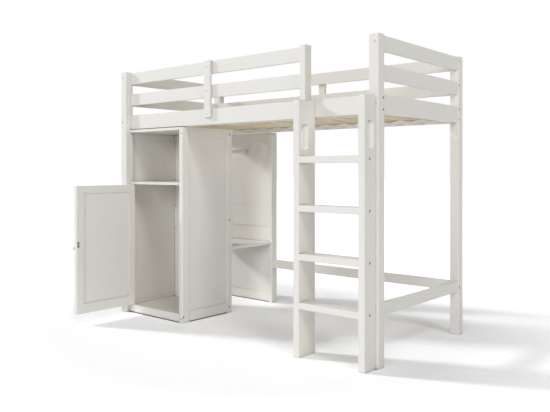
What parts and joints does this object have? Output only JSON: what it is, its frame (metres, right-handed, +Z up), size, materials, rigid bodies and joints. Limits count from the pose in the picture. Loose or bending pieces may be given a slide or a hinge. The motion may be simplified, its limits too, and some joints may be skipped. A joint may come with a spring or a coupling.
{
  "type": "loft bed",
  "caption": "High single bed with guard planks on all sides, a fixed ladder, slats, and below one end a wardrobe with a hinged door and an open shelf bay.",
  "frame": {"origin": "on the floor, at the middle of the box round the bed with its door open at right angles", "axes": "+X along the bed from the wardrobe end to the ladder end, +Y from the ladder side to the back, +Z up"},
  "size_m": [2.114, 1.492, 1.728],
  "materials": {
    "paint": "satin paint on wood",
    "door_paint": "satin paint on wood",
    "pine": "bare sanded pine",
    "steel": "satin",
    "bolts": "zinc plated",
    "dark_steel": "black lacquer",
    "dark_plastic": "matt"
  },
  "bodies": {
    "frame": {"post_front_left": "paint", "post_front_right": "paint", "post_back_left": "paint", "post_back_right": "paint", "side_rail_front": "paint", "side_rail_back": "paint", "end_rail_left": "paint", "end_rail_right": "paint", "guard_front_top": "paint", "guard_front_mid": "paint", "guard_front_batten": "paint", "guard_end_post": "paint", "guard_back_top": "paint", "guard_back_mid": "paint", "guard_back_batten": "paint", "guard_left_top": "paint", "guard_left_mid": "paint", "guard_right_top": "paint", "guard_right_mid": "paint", "low_rail_back": "paint", "low_rail_right": "paint", "slat_ledgers": "paint", "ladder_stile_left": "paint", "ladder_stile_right": "paint", "ladder_treads": "paint", "wardrobe_stile_front": "paint", "wardrobe_stile_rear": "paint", "wardrobe_stile_left": "paint", "wardrobe_side_rails": "paint", "wardrobe_side_panel": "paint", "wardrobe_left_rails": "paint", "wardrobe_left_panel": "paint", "wardrobe_back_rails": "paint", "wardrobe_back_panels": "paint", "wardrobe_top_board": "paint", "wardrobe_fixed_shelf": "paint", "wardrobe_floor_board": "paint", "wardrobe_base_rail": "paint", "hinge_stile": "paint", "bay_stile": "paint", "bay_back_rails": "paint", "bay_back_panels": "paint", "bay_shelf": "paint", "bay_shelf_cleats": "paint", "clothes_rod": "paint", "clothes_rod_sockets": "paint", "slats": "pine", "frame_hinge_leaves": "steel", "hinge_pins": "steel", "assembly_bolts": "bolts", "cross_nuts": "bolts", "door_catch": "dark_plastic"},
    "door": {"door_stile_hinge": "door_paint", "door_stile_free": "door_paint", "door_rails": "door_paint", "door_panel": "door_paint", "door_knob": "steel", "door_hinge_leaves": "steel", "door_strike": "dark_steel"}
  },
  "joints": [
    {"name": "door_hinge", "type": "hinge", "parent": "frame", "child": "door", "pos_m": [-0.9635, -0.2605, 0.493], "axis": [0, 0, 1], "range_deg": [-40, 90]}
  ]
}
